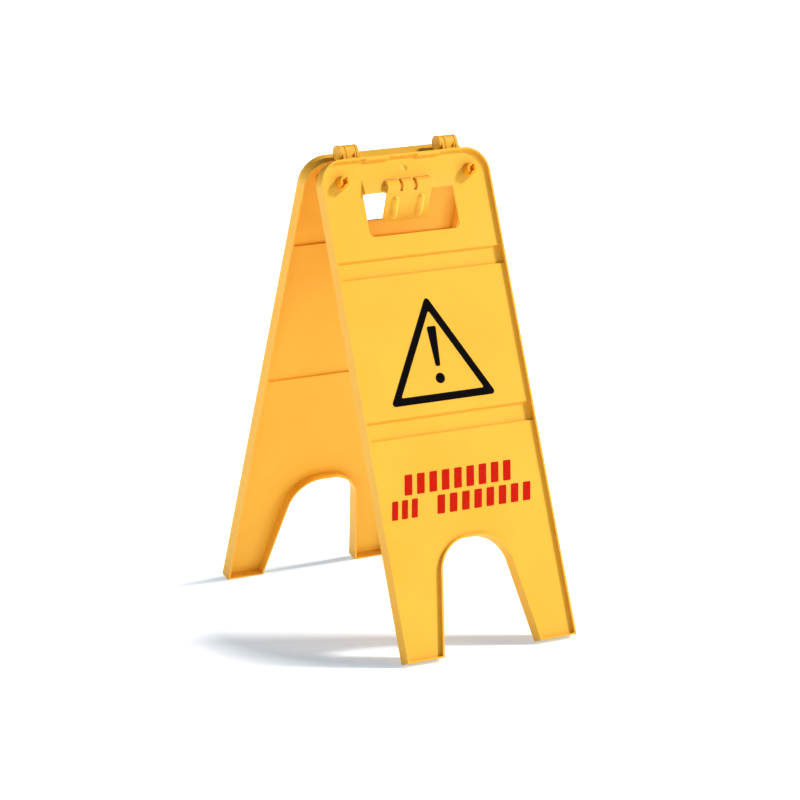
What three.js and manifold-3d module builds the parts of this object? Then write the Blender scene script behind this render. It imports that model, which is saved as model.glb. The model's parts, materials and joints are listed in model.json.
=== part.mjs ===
// Folding floor sign: two moulded leaves hinged at the top, standing open as an A.
// Millimetres, +Z up, the front leaf faces -Y. The origin is on the floor under the hinge line.
// Inside a leaf the axes are U across, V up the leaf from the floor and W out from its inner face.
import * as THREE from 'three';
import { mergeVertices } from 'three/addons/utils/BufferGeometryUtils.js';
import Module from 'manifold-3d';

const wasm = await Module();
wasm.setup();

// Leaf
const leafLength = 620;
const leafDepth = 17;
const footHalfWidth = 121.9;
const headHalfWidth = 120.6;
const cornerRadius = 32;
const soleV = -0.8;
const leanAngle = THREE.MathUtils.degToRad(20.2);
const wall = 2.4;
const webOuter = 13.5;
const webInner = webOuter - wall;

// Cross bands, where the web steps in
const bandStep = 2.8;
const bandInner = webInner - bandStep;
const bandOuter = webOuter - bandStep;
const bands = [{ bottom: 271, top: 295 }, { bottom: 470.5, top: 494 }];

// Arch between the feet of a leaf: two corner arcs with a short flat between them
const archCentreU = 7.5;
const archCentreV = 95.3;
const archRadius = 44;
const archSplay = THREE.MathUtils.degToRad(10.4);

// Hand hole, and the flared grip above it
const hole = { half: 65, bottom: 520.7, corner: 8 };
const grip = { edge: 574, top: 593, half: 63 };
const gatePit = { v: 602.3, radius: 4.2, depth: 1.5 };
const headPad = { near: 20, far: 54, thickness: 2 };

// Hinges: two ears of the front leaf and a knuckle of the back leaf on each pin.
// The stop plate hangs from the knuckle, and the notch is a mark moulded in its face.
const foldedGap = 1;
const hingeV = 631;
const hingeW = -foldedGap / 2;
const hingeCentreU = 71.5;
const hingeShift = 1.4;
const knuckleRadius = 9;
const pinRadius = 3;
const pinHeadRadius = 9.6;
const pinHeadLength = 3.8;
const earLength = 3.8;
const knuckleLength = 13.4;
const knuckleSideGap = 1;
const neckInnerW = 0.8;
const stopPlate = { thickness: 3, gap: 0.35 };
const stopNotch = { left: 5.6, right: 11.6, bottom: 2.8, top: 9.2, depth: 2 };

// Hook studs, one near each top corner: a hollow head split by a slot
const stud = {
  u: 91.5,
  v: 591.7,
  baseRadius: 8.4,
  tipRadius: 6,
  tipW: 22.5,
  rimRadius: 1.4,
  boreRadius: 3.4,
  boreDepth: 6.5,
  slotWidth: 2.4,
  slotDepth: 5.5,
  slotAngle: THREE.MathUtils.degToRad(57),
  stemRadius: 4.6,
  tailRadius: 6.8,
  tailLength: 2.2,
};

// Closing latch, hanging from a bar across the grip.
// Its claws clip round the bar; the plate below them stands a step back from the claws' front.
const latchV = 581;
const latchW = 13.5;
const latchHang = THREE.MathUtils.degToRad(36.54);
const latchHalfWidth = 32;
const latchSideGap = 0.9;
const latchLength = 45;
const latchThickness = 2.2;
const latchCorner = 2.5;
const latchSlits = [{ left: -14.2, right: -10.2 }, { left: 5.6, right: 10.4 }];
const slitEnd = -4.2;
const barRadius = 3.2;
const barSeat = 1.4;
const tongueRadius = 5.2;
const clawBore = 3.5;
const clawRadius = 8;
const clawMouth = 4.6;
const clawFoot = -5;
const plateStep = 0.7;
const latchRib = { u: 18.4, top: -10.5, bottom: -41.5, radius: 5.8, halfWidth: 5.4 };
const latchCatch = { near: 32.2, length: 2.4, height: 3.2 };

// Air between pieces that meet, and how far a cutter runs past the face it leaves
const clearance = 0.3;
const reach = 1;
const segments = 32;
const smallArcSteps = 3;
const capSteps = 5;

const yellow = '#f6c02c';

// ---------- solids ----------

function solidOf(geometry) {
  const bare = geometry.clone();
  bare.deleteAttribute('normal');
  bare.deleteAttribute('uv');
  const merged = mergeVertices(bare, 1e-4);
  const vertProperties = new Float32Array(merged.attributes.position.array);
  const triVerts = new Uint32Array(merged.index.array);
  return new wasm.Manifold(new wasm.Mesh({ numProp: 3, vertProperties, triVerts }));
}

function geometryOf(solid) {
  const mesh = solid.getMesh();
  const geometry = new THREE.BufferGeometry();
  geometry.setAttribute('position', new THREE.BufferAttribute(mesh.vertProperties, 3));
  geometry.setIndex(new THREE.BufferAttribute(mesh.triVerts, 1));
  geometry.computeVertexNormals();
  return geometry;
}

function union(solids) {
  return solids.reduce((sum, solid) => sum.add(solid));
}

function extruded(outline, low, high) {
  const options = { depth: high - low, bevelEnabled: false, curveSegments: segments / 2 };
  return new THREE.ExtrudeGeometry(outline, options).translate(0, 0, low);
}

// A U-V outline carried from one W to another.
function prismW(outline, low, high) {
  return solidOf(extruded(outline, low, high));
}

// A U-W outline carried from one V to another.
function prismV(outline, low, high) {
  return solidOf(extruded(outline, -high, -low).rotateX(Math.PI / 2));
}

// A V-W outline carried from one U to another.
function prismU(outline, low, high) {
  return solidOf(extruded(outline, low, high).rotateZ(Math.PI / 2).rotateY(Math.PI / 2));
}

function block(low, high) {
  const [u, v, w] = high.map((value, axis) => value - low[axis]);
  const [midU, midV, midW] = high.map((value, axis) => (value + low[axis]) / 2);
  return solidOf(new THREE.BoxGeometry(u, v, w).translate(midU, midV, midW));
}

// A round bar across the leaf, from one U to another.
function barU(radius, low, high, v, w) {
  const geometry = new THREE.CylinderGeometry(radius, radius, high - low, segments);
  return solidOf(geometry.rotateZ(-Math.PI / 2).translate((low + high) / 2, v, w));
}

function polygon(points) {
  return new THREE.Shape(points.map(([x, y]) => new THREE.Vector2(x, y)));
}

function part(name, solid) {
  const material = new THREE.MeshStandardMaterial({ color: yellow, roughness: 0.42, metalness: 0 });
  const mesh = new THREE.Mesh(geometryOf(solid), material);
  mesh.name = name;
  return mesh;
}

// ---------- placing ----------

// The half spread puts the hinge line over the origin when both leaves lean in.
const halfSpread = hingeV * Math.sin(leanAngle) - hingeW * Math.cos(leanAngle);
const frontPlace = new THREE.Matrix4()
  .makeRotationX(Math.PI / 2 - leanAngle)
  .setPosition(0, -halfSpread, 0);
const backPlace = new THREE.Matrix4().makeRotationZ(Math.PI).multiply(frontPlace);

function moved(solid, matrix) {
  return solid.transform(matrix.elements);
}

// ---------- leaf ----------

// Leaf outline with its feet and arch, drawn the given distance inside the moulding.
function leafOutline(inset) {
  const foot = footHalfWidth - inset;
  const head = headHalfWidth - inset;
  const radius = cornerRadius - inset;
  const top = leafLength - inset;
  const sole = soleV + inset;
  const arch = archRadius + inset;
  const archReach = (arch + (archCentreV - sole) * Math.sin(archSplay)) / Math.cos(archSplay);
  const archFoot = archCentreU + archReach;
  const shape = new THREE.Shape();
  shape.moveTo(archFoot, sole);
  shape.lineTo(foot, sole);
  shape.absarc(head - radius, top - radius, radius, 0, Math.PI / 2, false);
  shape.absarc(radius - head, top - radius, radius, Math.PI / 2, Math.PI, false);
  shape.lineTo(-foot, sole);
  shape.lineTo(-archFoot, sole);
  shape.absarc(-archCentreU, archCentreV, arch, Math.PI - archSplay, Math.PI / 2, true);
  shape.absarc(archCentreU, archCentreV, arch, Math.PI / 2, archSplay, true);
  return shape;
}

// Hand hole outline, square at the grip and rounded below.
function holeOutline() {
  const { half, corner } = hole;
  const centreV = hole.bottom + corner;
  const shape = new THREE.Shape();
  shape.moveTo(half, grip.edge);
  shape.lineTo(-half, grip.edge);
  shape.absarc(corner - half, centreV, corner, Math.PI, 1.5 * Math.PI, false);
  shape.absarc(half - corner, centreV, corner, 1.5 * Math.PI, 2 * Math.PI, false);
  return shape;
}

function bandBlock(band, grow, lowW, highW) {
  const half = footHalfWidth + reach;
  return block([-half, band.bottom - grow, lowW], [half, band.top + grow, highW]);
}

// The hollows on the inner face, shallower along the bands.
function innerPockets() {
  const shallow = prismW(leafOutline(wall), -reach, bandInner);
  const bandsBetween = union(bands.map((band) => bandBlock(band, wall, -reach, webOuter)));
  const deep = prismW(leafOutline(wall), -reach, webInner).subtract(bandsBetween);
  return shallow.add(deep);
}

// The hollows on the outer face, deeper along the bands.
function outerPockets() {
  const zones = prismW(leafOutline(wall), webOuter, leafDepth + reach);
  const deep = prismW(leafOutline(wall), bandOuter, leafDepth + reach);
  return union(bands.map((band) => deep.intersect(bandBlock(band, 0, 0, leafDepth + reach)))).add(zones);
}

const gripSlope = (leafDepth - webOuter) / (grip.top - grip.edge);

// Flared grip over the hand hole, thickest at its lower edge.
function gripFlare() {
  const side = polygon([
    [grip.edge, webInner],
    [grip.top, webInner],
    [grip.top, webOuter],
    [grip.edge, leafDepth],
  ]);
  return prismU(side, -grip.half, grip.half);
}

// Finger space behind the grip, open downwards and to the inner face.
function gripHollow() {
  const drop = wall / Math.cos(Math.atan(gripSlope));
  const ceiling = grip.edge + (leafDepth - drop - webInner) / gripSlope;
  const edgeW = leafDepth - drop + reach * gripSlope;
  const floor = grip.edge - reach;
  const side = polygon([[floor, -reach], [ceiling, -reach], [ceiling, webInner], [floor, edgeW]]);
  return prismU(side, wall - grip.half, grip.half - wall);
}

function gatePitCut() {
  const radius = (gatePit.radius ** 2 + gatePit.depth ** 2) / (2 * gatePit.depth);
  const ball = new THREE.SphereGeometry(radius, segments, segments / 2);
  return solidOf(ball.translate(0, gatePit.v, webOuter - gatePit.depth + radius));
}

function studHole(side) {
  const radius = stud.stemRadius + clearance;
  const geometry = new THREE.CylinderGeometry(radius, radius, 2 * leafDepth, segments).rotateX(Math.PI / 2);
  return solidOf(geometry.translate(side * stud.u, stud.v, 0));
}

// Thicker stretches under the top rim.
function headPads() {
  const top = leafLength - wall + reach / 2;
  const bottom = leafLength - wall - headPad.thickness;
  return [
    block([headPad.near, bottom, webInner], [headPad.far, top, leafDepth]),
    block([-headPad.far, bottom, webInner], [-headPad.near, top, leafDepth]),
  ];
}

// The floor, seen from inside the leaf: it grinds a narrow flat along each sole.
function floorCut() {
  const ground = new THREE.BoxGeometry(4 * footHalfWidth, 4 * leafDepth, 2 * leafDepth);
  ground.translate(0, -halfSpread, -leafDepth);
  return solidOf(ground.applyMatrix4(frontPlace.clone().invert()));
}

function bareLeaf() {
  return prismW(leafOutline(0), 0, leafDepth)
    .subtract(innerPockets())
    .subtract(outerPockets())
    .subtract(prismW(holeOutline(), -reach, leafDepth + reach))
    .add(gripFlare())
    .subtract(gripHollow())
    .add(union(headPads()))
    .subtract(gatePitCut())
    .subtract(studHole(1))
    .subtract(studHole(-1))
    .subtract(floorCut());
}

// ---------- hinges ----------

// Where each piece of a hinge starts, measured from the outer face of the pin head.
const hingeLength = pinHeadLength + clearance + 2 * (earLength + knuckleSideGap) + knuckleLength;
const nearEarStart = pinHeadLength + clearance;
const knuckleStart = nearEarStart + earLength + knuckleSideGap;
const farEarStart = knuckleStart + knuckleLength + knuckleSideGap;

function hingeStart(side) {
  return side * hingeCentreU + hingeShift - hingeLength / 2;
}

// A round eye on the hinge line, joined to the top rim by a neck.
function hingeEye(low, high) {
  const foot = leafLength - wall;
  const neck = block([low, foot, neckInnerW], [high, hingeV, knuckleRadius + hingeW]);
  return barU(knuckleRadius, low, high, hingeV, hingeW).add(neck);
}

function hingeBore(low, high) {
  return barU(pinRadius + clearance, low - reach, high + reach, hingeV, hingeW);
}

function ears(side) {
  const start = hingeStart(side);
  return [nearEarStart, farEarStart].map((offset) => {
    const low = start + offset;
    return hingeEye(low, low + earLength).subtract(hingeBore(low, low + earLength));
  });
}

// The plate on the knuckle that comes down on the front leaf's top rim and stops it opening further.
// It is drawn along the front leaf.
function openingStop(low, high) {
  const faceW = hingeW + knuckleRadius;
  const bottom = leafLength + stopPlate.gap;
  const plate = block([low, bottom, faceW - stopPlate.thickness], [high, hingeV, faceW]);
  const notch = polygon([
    [low + stopNotch.left, leafLength + stopNotch.bottom],
    [low + stopNotch.right, leafLength + stopNotch.bottom],
    [low + stopNotch.right, leafLength + stopNotch.top],
  ]);
  return plate.subtract(prismW(notch, faceW - stopNotch.depth, faceW + reach));
}

// The knuckle, drawn along the back leaf, whose U axis runs the other way.
function knuckle(side) {
  const low = hingeStart(side) + knuckleStart;
  const high = low + knuckleLength;
  const toBack = backPlace.clone().invert().multiply(frontPlace);
  const stop = moved(openingStop(low, high), toBack);
  return hingeEye(-high, -low).add(stop).subtract(hingeBore(-high, -low));
}

function hingePin(side) {
  const start = hingeStart(side);
  const end = start + farEarStart + earLength;
  const head = barU(pinHeadRadius, start, start + pinHeadLength, hingeV, hingeW);
  return head.add(barU(pinRadius, start, end, hingeV, hingeW));
}

// ---------- grip bar and closing latch ----------

// Opening in the grip in which the latch turns.
function latchWindow() {
  const half = latchHalfWidth + latchSideGap;
  const swing = barU(clawRadius + 2 * clearance, -half, half, latchV, latchW);
  const below = block([-half, grip.edge - reach, -reach], [half, latchV, leafDepth + reach]);
  return swing.add(below);
}

// The parts of the grip that stay in the slits of the latch and hold the bar.
function latchTongues(flare) {
  return latchSlits.map((slit) => {
    const low = slit.left + 2 * clearance;
    const high = slit.right - 2 * clearance;
    const strip = block([low, latchV, 0], [high, grip.top, leafDepth]);
    return flare.intersect(strip).add(barU(tongueRadius, low, high, latchV, latchW));
  });
}

// The bar the latch hangs from, let into both sides of the window.
function latchBar() {
  const end = latchHalfWidth + latchSideGap + barSeat;
  return barU(barRadius, -end, end, latchV, latchW);
}

function gripWithBar(leaf) {
  const flare = gripFlare().subtract(gripHollow());
  return leaf.subtract(latchWindow()).add(union(latchTongues(flare))).add(latchBar());
}

// The latch, drawn along the front leaf with the bar at its origin and its plate pointing down.
function latch() {
  const face = clawRadius - plateStep;
  const back = face - latchThickness;
  const half = latchHalfWidth;
  const outline = new THREE.Shape();
  outline.moveTo(half, 0);
  outline.lineTo(-half, 0);
  outline.absarc(latchCorner - half, latchCorner - latchLength, latchCorner, Math.PI, 1.5 * Math.PI, false);
  outline.absarc(half - latchCorner, latchCorner - latchLength, latchCorner, 1.5 * Math.PI, 0, false);
  const plate = prismW(outline, back, face);
  const clawFront = block([-half, clawFoot, 0], [half, 0, clawRadius]);
  const claws = barU(clawRadius, -half, half, 0, 0).add(clawFront);
  const bore = barU(clawBore, -half - reach, half + reach, 0, 0);
  const mouth = block([-half - reach, -clawMouth / 2, -2 * clawRadius], [half + reach, clawMouth / 2, 0]);
  const slits = latchSlits.flatMap((slit) => [
    block([slit.left, slitEnd, -2 * clawRadius], [slit.right, 2 * clawRadius, 2 * clawRadius]),
    block([slit.left, -2 * clawRadius, -2 * clawRadius], [slit.right, slitEnd, back]),
  ]);
  return claws.subtract(mouth).add(plate).subtract(bore).subtract(union(slits))
    .add(latchRibAt(-latchRib.u))
    .add(latchRibAt(latchRib.u))
    .add(catchRidge(half, back));
}

// A half-round rib down the face of the latch, with round ends.
function latchRibAt(u) {
  const face = clawRadius - plateStep;
  const centreW = face - Math.sqrt(latchRib.radius ** 2 - latchRib.halfWidth ** 2);
  const length = latchRib.top - latchRib.bottom - 2 * latchRib.halfWidth;
  const rib = new THREE.CapsuleGeometry(latchRib.radius, length, capSteps, segments / 2);
  const upright = solidOf(rib.translate(u, (latchRib.top + latchRib.bottom) / 2, centreW));
  const side = 2 * latchRib.halfWidth;
  const outside = block([u - side, -latchLength, face - latchThickness / 2], [u + side, 0, 2 * clawRadius]);
  return upright.intersect(outside);
}

// The ridge behind the latch that hooks over the other leaf's grip when the sign is folded.
function catchRidge(half, back) {
  const low = [latchCorner - half, -latchCatch.near - latchCatch.length, back - latchCatch.height];
  return block(low, [half - latchCorner, -latchCatch.near, back + reach]);
}

// ---------- hook studs ----------

// A hollow hook stud: head outside the leaf, stem through the web, staked tail inside.
function hookStud() {
  const tailTop = webInner - clearance;
  const rimCentre = stud.tipW - stud.rimRadius;
  const profile = new THREE.Path();
  profile.moveTo(0, tailTop - stud.tailLength);
  profile.lineTo(stud.tailRadius, tailTop - stud.tailLength);
  profile.lineTo(stud.tailRadius, tailTop);
  profile.lineTo(stud.stemRadius, tailTop);
  profile.lineTo(stud.stemRadius, webOuter + clearance);
  profile.lineTo(stud.baseRadius, webOuter + clearance);
  profile.absarc(stud.tipRadius, rimCentre, stud.rimRadius, 0, Math.PI / 2, false);
  profile.lineTo(stud.boreRadius, stud.tipW);
  profile.lineTo(stud.boreRadius, stud.tipW - stud.boreDepth);
  profile.lineTo(0, stud.tipW - stud.boreDepth);
  const head = new THREE.LatheGeometry(profile.getPoints(smallArcSteps), segments);
  const turned = solidOf(head.rotateX(Math.PI / 2));
  const slot = new THREE.BoxGeometry(4 * stud.baseRadius, stud.slotWidth, 2 * stud.slotDepth);
  slot.translate(0, 0, stud.tipW).rotateZ(stud.slotAngle);
  return turned.subtract(solidOf(slot));
}

function studMesh(name, side) {
  const mesh = part(name, hookStud());
  mesh.position.set(side * stud.u, stud.v, 0);
  return mesh;
}

// ---------- assembly ----------

function frontSide() {
  const group = new THREE.Group();
  const leaf = union([gripWithBar(bareLeaf()), ...ears(-1), ...ears(1)]);
  group.add(part('front_leaf', leaf));
  group.add(part('hinge_pin_left', hingePin(-1)));
  group.add(part('hinge_pin_right', hingePin(1)));
  group.add(studMesh('front_hook_stud_left', -1));
  group.add(studMesh('front_hook_stud_right', 1));
  const hanging = part('closing_latch', latch());
  hanging.position.set(0, latchV, latchW);
  hanging.rotation.x = latchHang;
  group.add(hanging);
  group.applyMatrix4(frontPlace);
  return group;
}

function backSide() {
  const group = new THREE.Group();
  const leaf = union([bareLeaf(), knuckle(-1), knuckle(1)]);
  group.add(part('back_leaf', leaf));
  group.add(studMesh('back_hook_stud_left', -1));
  group.add(studMesh('back_hook_stud_right', 1));
  group.applyMatrix4(backPlace);
  return group;
}

const sign = new THREE.Group();
sign.add(frontSide(), backSide());

export default sign;
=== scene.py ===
"""Folding floor sign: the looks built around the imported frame. Metres, +Z up, front towards -Y."""
import json
import math

import bmesh
import bpy
from mathutils import Matrix, Vector


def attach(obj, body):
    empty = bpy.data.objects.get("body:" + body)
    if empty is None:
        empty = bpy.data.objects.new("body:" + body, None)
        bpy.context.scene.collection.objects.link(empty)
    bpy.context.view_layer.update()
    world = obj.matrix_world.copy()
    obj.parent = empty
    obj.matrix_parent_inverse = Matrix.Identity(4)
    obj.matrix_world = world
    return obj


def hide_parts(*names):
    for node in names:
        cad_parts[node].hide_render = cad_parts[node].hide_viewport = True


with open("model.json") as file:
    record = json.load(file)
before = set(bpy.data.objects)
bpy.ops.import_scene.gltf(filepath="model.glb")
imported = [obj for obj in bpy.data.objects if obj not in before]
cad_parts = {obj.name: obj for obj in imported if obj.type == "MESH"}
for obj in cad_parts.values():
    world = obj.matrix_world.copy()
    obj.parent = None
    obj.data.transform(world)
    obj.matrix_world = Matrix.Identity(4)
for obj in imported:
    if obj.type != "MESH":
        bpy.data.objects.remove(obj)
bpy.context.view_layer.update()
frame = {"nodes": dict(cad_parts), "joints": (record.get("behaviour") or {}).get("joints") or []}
scene = bpy.context.scene

MM = 0.001

# Leaf coordinates: U across, V up the leaf, W out of its inner face.
FOLDED_GAP = 1.0 * MM
WEB_OUTER = 13.5 * MM
INK_LIFT = 0.02 * MM
INK_THICKNESS = 0.12 * MM

# Print on the outer faces: a warning triangle, and rows of bars as (left, right, count) groups
SIGN_CENTRE_U = -3.2 * MM
SIGN_APEX_V = 442 * MM
SIGN_BASE_V = 309.8 * MM
SIGN_HALF_WIDTH = 76.2 * MM
SIGN_STROKE = 9.6 * MM
SIGN_CORNER = 4 * MM
SIGN_INNER_CORNER = 1.5 * MM
MARK_FOOT_V = 353 * MM
MARK_HEIGHT = 50 * MM
MARK_FOOT_HALF = 3.4 * MM
MARK_TOP_HALF = 6.6 * MM
MARK_CORNER = 2.4 * MM
DOT_V = 338 * MM
DOT_RADIUS = 6.6 * MM
BAR_ROWS = [
    {"low": 201 * MM, "high": 226 * MM, "groups": [(-84 * MM, 76 * MM, 9)]},
    {"low": 173 * MM, "high": 196 * MM, "groups": [(-107 * MM, -65 * MM, 3), (-43 * MM, 99 * MM, 8)]},
]
BAR_FILL = 0.62
BAR_SLANT = 5 * MM
BAR_CORNER = 1.2 * MM

# Colours
WHITE = (1, 1, 1)
YELLOW = (0.885, 0.475, 0.046)
YELLOW_DEEP = (0.875, 0.445, 0.038)
# The studs share the leaf's plastic. Their deeper yellow is painted shade that darkens them as if they
# stood in shadow.
STUD_PAINTED_SHADE_YELLOW = (0.87, 0.40, 0.018)
STUD_PAINTED_SHADE_DEEP = (0.84, 0.34, 0.012)
BLACK = (0.002, 0.0015, 0.0015)
BLACK_WORN = (0.009, 0.006, 0.004)
RED = (0.53, 0.010, 0.003)
RED_WORN = (0.62, 0.05, 0.008)

# How the solids are smoothed, and the edge radii that the mould leaves
MERGE_DISTANCE = 0.005 * MM
FLAT_ANGLE = math.radians(0.5)
SHARP_ANGLE = math.radians(40)
BEVEL_ANGLE = math.radians(30)
BEVEL_SEGMENTS = 2
LEAF_EDGE = 0.5 * MM
LATCH_EDGE = 0.4 * MM
PIN_EDGE = 0.6 * MM
STUD_EDGE = 0.3 * MM

# Floor: cool near the sign, to cancel the yellow light that the sign throws on the paper
FLOOR_HALF = 12
FLOOR_GREY = 0.85
FLOOR_GLOW_NEAR = (0.52, 0.78, 1.0)
FLOOR_GLOW_NEAR_STRENGTH = 0.41
FLOOR_FADE_START = 0.25
FLOOR_FADE_END = 0.325
SKY_STRENGTH = 0.16

# Camera, at the photographed angle
CAMERA_AZIMUTH = -31.1
CAMERA_ELEVATION = 13.32
CAMERA_DISTANCE = 4.931
CAMERA_TARGET = Vector((0.0, 0.0, 0.3))
CAMERA_PAN = (0.0067, -0.0288)
CAMERA_LENS = 176.7


# ---------- node materials ----------

class Graph:
    """Short ways to add and link shader nodes."""

    def __init__(self, name):
        self.material = bpy.data.materials.new(name)
        self.material.use_nodes = True
        self.tree = self.material.node_tree
        self.shader = self.tree.nodes["Principled BSDF"]
        self.place = self.add("ShaderNodeTexCoord").outputs["Object"]

    def add(self, kind, **settings):
        node = self.tree.nodes.new(kind)
        for key, value in settings.items():
            setattr(node, key, value)
        return node

    def join(self, output, socket):
        self.tree.links.new(output, socket)

    def noise(self, scale, detail=3.0, roughness=0.5, stretch=(1, 1, 1)):
        mapping = self.add("ShaderNodeMapping")
        mapping.inputs["Scale"].default_value = stretch
        self.join(self.place, mapping.inputs["Vector"])
        node = self.add("ShaderNodeTexNoise")
        node.inputs["Scale"].default_value = scale
        node.inputs["Detail"].default_value = detail
        node.inputs["Roughness"].default_value = roughness
        self.join(mapping.outputs["Vector"], node.inputs["Vector"])
        return node.outputs["Fac"]

    def remap(self, value, low, high, to_low, to_high):
        node = self.add("ShaderNodeMapRange")
        self.join(value, node.inputs["Value"])
        node.inputs["From Min"].default_value = low
        node.inputs["From Max"].default_value = high
        node.inputs["To Min"].default_value = to_low
        node.inputs["To Max"].default_value = to_high
        return node.outputs["Result"]

    def mix(self, factor, first, second):
        node = self.add("ShaderNodeMix", data_type="RGBA")
        self.join(factor, node.inputs["Factor"])
        node.inputs["A"].default_value = (*first, 1)
        node.inputs["B"].default_value = (*second, 1)
        return node.outputs["Result"]

    def bump(self, height, distance, strength, below=None):
        node = self.add("ShaderNodeBump")
        node.inputs["Distance"].default_value = distance
        node.inputs["Strength"].default_value = strength
        self.join(height, node.inputs["Height"])
        if below is not None:
            self.join(below, node.inputs["Normal"])
        return node.outputs["Normal"]


def moulded_plastic(name, colour, deep, roughness=0.4):
    """Dyed polypropylene: slight clouding, a fine spark-eroded grain and faint handling scuffs."""
    graph = Graph(name)
    cloud = graph.remap(graph.noise(9, 4), 0.35, 0.7, 0, 1)
    graph.join(graph.mix(cloud, colour, deep), graph.shader.inputs["Base Color"])
    scuff = graph.noise(60, 5, 0.65, (1, 1, 0.25))
    gloss = graph.remap(scuff, 0.5, 0.72, roughness, roughness + 0.14)
    graph.join(gloss, graph.shader.inputs["Roughness"])
    sway = graph.bump(graph.noise(14, 2), 0.6 * MM, 0.35)
    grain = graph.bump(graph.noise(1400, 2), 0.08 * MM, 0.35, sway)
    graph.join(grain, graph.shader.inputs["Normal"])
    graph.shader.inputs["Specular IOR Level"].default_value = 0.16
    return graph.material


def printed_ink(name, colour, worn):
    """Screen-printed ink, a little thin in patches."""
    graph = Graph(name)
    patches = graph.remap(graph.noise(220, 4, 0.7), 0.52, 0.75, 0.0, 0.35)
    graph.join(graph.mix(patches, colour, worn), graph.shader.inputs["Base Color"])
    gloss = graph.remap(graph.noise(90, 3), 0.3, 0.7, 0.55, 0.7)
    graph.join(gloss, graph.shader.inputs["Roughness"])
    grain = graph.bump(graph.noise(1400, 2), 0.05 * MM, 0.3)
    graph.join(grain, graph.shader.inputs["Normal"])
    graph.shader.inputs["Specular IOR Level"].default_value = 0.02
    return graph.material


# ---------- pieces from the frame ----------

def refined(node, body, material, radius):
    """A copy of a CAD solid with its flat faces merged and its edges rounded as a mould leaves them."""
    mesh = frame["nodes"][node].data.copy()
    mesh.name = node + ".moulded"
    mesh.materials.clear()
    mesh.materials.append(material)
    work = bmesh.new()
    work.from_mesh(mesh)
    bmesh.ops.remove_doubles(work, verts=work.verts, dist=MERGE_DISTANCE)
    bmesh.ops.dissolve_limit(work, angle_limit=FLAT_ANGLE, verts=work.verts, edges=work.edges)
    work.to_mesh(mesh)
    work.free()
    mesh.shade_smooth()
    mesh.set_sharp_from_angle(angle=SHARP_ANGLE)
    piece = bpy.data.objects.new(node + ".moulded", mesh)
    scene.collection.objects.link(piece)
    bevel = piece.modifiers.new("edges", "BEVEL")
    bevel.width = radius
    bevel.segments = BEVEL_SEGMENTS
    bevel.limit_method = "ANGLE"
    bevel.angle_limit = BEVEL_ANGLE
    bevel.miter_outer = "MITER_ARC"
    normals = piece.modifiers.new("normals", "WEIGHTED_NORMAL")
    normals.keep_sharp = False
    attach(piece, body)
    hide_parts(node)
    return piece


# ---------- print ----------

LEAN = math.radians(frame["joints"][0]["range_deg"][1]) / 2
HINGE = Vector(frame["joints"][0]["pos_m"])


def leaf_matrix():
    """Leaf coordinates to the row frame, for the front leaf."""
    across = Vector((1, 0, 0))
    up = Vector((0, math.sin(LEAN), math.cos(LEAN)))
    out = Vector((0, -math.cos(LEAN), math.sin(LEAN)))
    hinge_w = -FOLDED_GAP / 2
    hinge_v = (HINGE.z - hinge_w * out.z) / up.z
    origin = HINGE - up * hinge_v - out * hinge_w
    return Matrix.Translation(origin) @ Matrix((across, up, out)).transposed().to_4x4()


def rounded_loop(corners, radius, steps=6):
    """The closed outline through the corners, each rounded by an arc."""
    points = []
    count = len(corners)
    for index, corner in enumerate(corners):
        before = (corners[index - 1] - corner).normalized()
        after = (corners[(index + 1) % count] - corner).normalized()
        half = before.angle(after) / 2
        centre = corner + (before + after).normalized() * radius / math.sin(half)
        start = corner + before * radius / math.tan(half) - centre
        turn = math.pi - 2 * half
        sign = 1 if before.cross(after) < 0 else -1
        for step in range(steps + 1):
            angle = sign * turn * step / steps
            points.append(centre + Matrix.Rotation(angle, 2) @ start)
    return points


def extrude_faces(work, faces):
    """Thickens flat ink faces into a closed film."""
    extruded = bmesh.ops.extrude_face_region(work, geom=faces)
    lifted = [item for item in extruded["geom"] if isinstance(item, bmesh.types.BMVert)]
    bmesh.ops.translate(work, verts=lifted, vec=(0, 0, INK_THICKNESS))
    bmesh.ops.recalc_face_normals(work, faces=work.faces)


def flat_verts(work, outline):
    return [work.verts.new((*point, 0)) for point in outline]


def film(name, outlines, rings, material, body, place):
    """One printed colour: filled outlines and rings between two outlines, in U and V."""
    work = bmesh.new()
    faces = [work.faces.new(flat_verts(work, outline)) for outline in outlines]
    for outer, inner in rings:
        outside = flat_verts(work, outer)
        inside = flat_verts(work, inner)
        for index in range(len(outside)):
            after = (index + 1) % len(outside)
            faces.append(work.faces.new((outside[index], outside[after], inside[after], inside[index])))
    extrude_faces(work, faces)
    mesh = bpy.data.meshes.new(name)
    work.to_mesh(mesh)
    work.free()
    mesh.transform(place @ Matrix.Translation((0, 0, WEB_OUTER + INK_LIFT)))
    mesh.materials.append(material)
    piece = bpy.data.objects.new(name, mesh)
    scene.collection.objects.link(piece)
    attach(piece, body)
    return piece


def triangle(inset):
    """Corners of the warning triangle, moved in by the given distance."""
    height = SIGN_APEX_V - SIGN_BASE_V
    slope = math.atan2(height, SIGN_HALF_WIDTH)
    half = SIGN_HALF_WIDTH - inset / math.tan(slope / 2)
    apex = SIGN_APEX_V - inset / math.cos(slope)
    base = SIGN_BASE_V + inset
    middle = SIGN_CENTRE_U
    return [Vector((middle - half, base)), Vector((middle + half, base)), Vector((middle, apex))]


def circle(centre, radius, steps=32):
    """A closed round outline."""
    angles = [2 * math.pi * step / steps for step in range(steps)]
    return [centre + radius * Vector((math.cos(angle), math.sin(angle))) for angle in angles]


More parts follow.
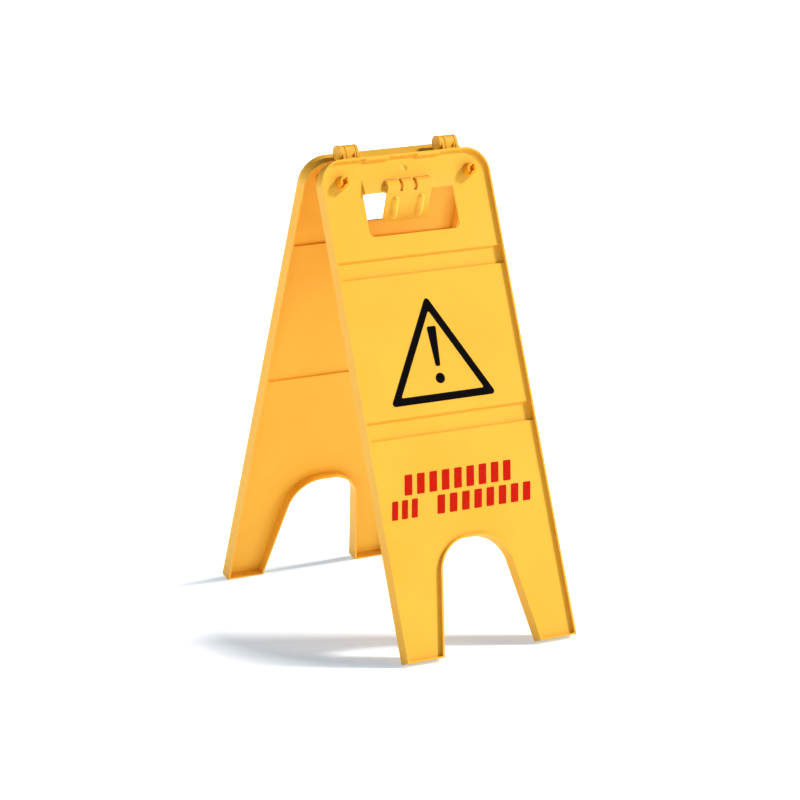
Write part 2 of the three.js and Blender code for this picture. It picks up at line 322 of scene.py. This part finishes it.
def exclamation():
    """A plain exclamation mark: a tapered stroke over a round dot."""
    foot = Vector((SIGN_CENTRE_U, MARK_FOOT_V))
    top = foot + Vector((0, MARK_HEIGHT))
    foot_half = Vector((MARK_FOOT_HALF, 0))
    top_half = Vector((MARK_TOP_HALF, 0))
    stroke = [foot - foot_half, foot + foot_half, top + top_half, top - top_half]
    dot = circle(Vector((SIGN_CENTRE_U, DOT_V)), DOT_RADIUS)
    return [rounded_loop(stroke, MARK_CORNER), dot]


def bar_outlines():
    """Two rows of plain slanted bars where such a sign carries its wording."""
    outlines = []
    for row in BAR_ROWS:
        for left, right, count in row["groups"]:
            pitch = (right - left) / count
            for index in range(count):
                start = left + index * pitch + pitch * (1 - BAR_FILL) / 2
                end = start + pitch * BAR_FILL
                shift = BAR_SLANT / 2
                corners = [
                    Vector((start - shift, row["low"])),
                    Vector((end - shift, row["low"])),
                    Vector((end + shift, row["high"])),
                    Vector((start + shift, row["high"])),
                ]
                outlines.append(rounded_loop(corners, BAR_CORNER, steps=3))
    return outlines


def print_leaf(side, body, place, black, red):
    """Both colours on the outer face of one leaf."""
    outer = rounded_loop(triangle(0), SIGN_CORNER)
    inner = rounded_loop(triangle(SIGN_STROKE), SIGN_INNER_CORNER)
    film(side + "_warning_triangle", exclamation(), [(outer, inner)], black, body, place)
    film(side + "_print_bars", bar_outlines(), [], red, body, place)


# ---------- stage ----------

def floor_material():
    """White paper that glows more with distance, so that only the shadows near the sign are seen."""
    graph = Graph("floor")
    graph.shader.inputs["Base Color"].default_value = (FLOOR_GREY, FLOOR_GREY, FLOOR_GREY, 1)
    distance = graph.add("ShaderNodeVectorMath", operation="LENGTH")
    graph.join(graph.place, distance.inputs[0])
    away = graph.remap(distance.outputs["Value"], FLOOR_FADE_START, FLOOR_FADE_END, 0, 1)
    graph.join(graph.mix(away, FLOOR_GLOW_NEAR, WHITE), graph.shader.inputs["Emission Color"])
    strength = graph.remap(away, 0, 1, FLOOR_GLOW_NEAR_STRENGTH, 1)
    graph.join(strength, graph.shader.inputs["Emission Strength"])
    graph.shader.inputs["Roughness"].default_value = 0.9
    graph.shader.inputs["Specular IOR Level"].default_value = 0.1
    return graph.material


def make_floor():
    mesh = bpy.data.meshes.new("floor")
    signs = [(-1, -1), (1, -1), (1, 1), (-1, 1)]
    corners = [(x * FLOOR_HALF, y * FLOOR_HALF, 0) for x, y in signs]
    mesh.from_pydata(corners, [], [(0, 1, 2, 3)])
    mesh.materials.append(floor_material())
    floor = bpy.data.objects.new("floor", mesh)
    scene.collection.objects.link(floor)


def direction(azimuth, elevation):
    """Unit vector from the object: azimuth 0 is the front, 90 the right."""
    turn = math.radians(azimuth)
    rise = math.radians(elevation)
    return Vector((math.sin(turn) * math.cos(rise), -math.cos(turn) * math.cos(rise), math.sin(rise)))


def area_light(name, azimuth, elevation, distance, size, power):
    light = bpy.data.lights.new(name, "AREA")
    light.shape = "DISK"
    light.size = size
    light.energy = power
    lamp = bpy.data.objects.new(name, light)
    toward = direction(azimuth, elevation)
    lamp.location = CAMERA_TARGET + toward * distance
    lamp.rotation_euler = toward.to_track_quat("Z", "Y").to_euler()
    scene.collection.objects.link(lamp)


def sun_light(azimuth, elevation, softness, strength):
    light = bpy.data.lights.new("key", "SUN")
    light.angle = math.radians(softness)
    light.energy = strength
    lamp = bpy.data.objects.new("key", light)
    lamp.rotation_euler = direction(azimuth, elevation).to_track_quat("Z", "Y").to_euler()
    scene.collection.objects.link(lamp)


def make_world():
    world = bpy.data.worlds.new("studio")
    world.use_nodes = True
    background = world.node_tree.nodes["Background"]
    background.inputs["Color"].default_value = (*WHITE, 1)
    background.inputs["Strength"].default_value = SKY_STRENGTH
    scene.world = world


def make_camera():
    camera = bpy.data.cameras.new("camera")
    camera.lens = CAMERA_LENS
    turn = math.radians(CAMERA_AZIMUTH)
    back = direction(CAMERA_AZIMUTH, CAMERA_ELEVATION)
    right = Vector((math.cos(turn), math.sin(turn), 0))
    up = back.cross(right)
    viewer = bpy.data.objects.new("camera", camera)
    place = CAMERA_TARGET + back * CAMERA_DISTANCE + right * CAMERA_PAN[0] + up * CAMERA_PAN[1]
    viewer.matrix_world = Matrix.Translation(place) @ Matrix((right, up, back)).transposed().to_4x4()
    scene.collection.objects.link(viewer)
    scene.camera = viewer


# ---------- build ----------

make_camera()
make_world()
make_floor()
sun_light(azimuth=73, elevation=38, softness=8, strength=3.55)
area_light("right_low", azimuth=55, elevation=10, distance=3.0, size=0.6, power=22)
area_light("left_soft", azimuth=-118, elevation=14, distance=3.0, size=1.4, power=15)

scene.view_settings.view_transform = "Standard"

leaf_plastic = moulded_plastic("leaf_plastic", YELLOW, YELLOW_DEEP)
small_plastic = moulded_plastic("small_plastic", YELLOW, YELLOW_DEEP, roughness=0.34)
# Painted shade: the studs get a deeper copy of the leaf plastic, so that they look shaded.
stud_plastic = moulded_plastic("stud_plastic", STUD_PAINTED_SHADE_YELLOW, STUD_PAINTED_SHADE_DEEP, roughness=0.32)
black_ink = printed_ink("black_ink", BLACK, BLACK_WORN)
red_ink = printed_ink("red_ink", RED, RED_WORN)

refined("front_leaf", "front", leaf_plastic, LEAF_EDGE)
refined("back_leaf", "back", leaf_plastic, LEAF_EDGE)
refined("closing_latch", "latch", small_plastic, LATCH_EDGE)
for side in ("left", "right"):
    refined("hinge_pin_" + side, "front", small_plastic, PIN_EDGE)
    refined("front_hook_stud_" + side, "front", stud_plastic, STUD_EDGE)
    refined("back_hook_stud_" + side, "back", stud_plastic, STUD_EDGE)

front_place = leaf_matrix()
back_place = Matrix.Rotation(math.pi, 4, "Z") @ front_place
print_leaf("front", "front", front_place, black_ink, red_ink)
print_leaf("back", "back", back_place, black_ink, red_ink)
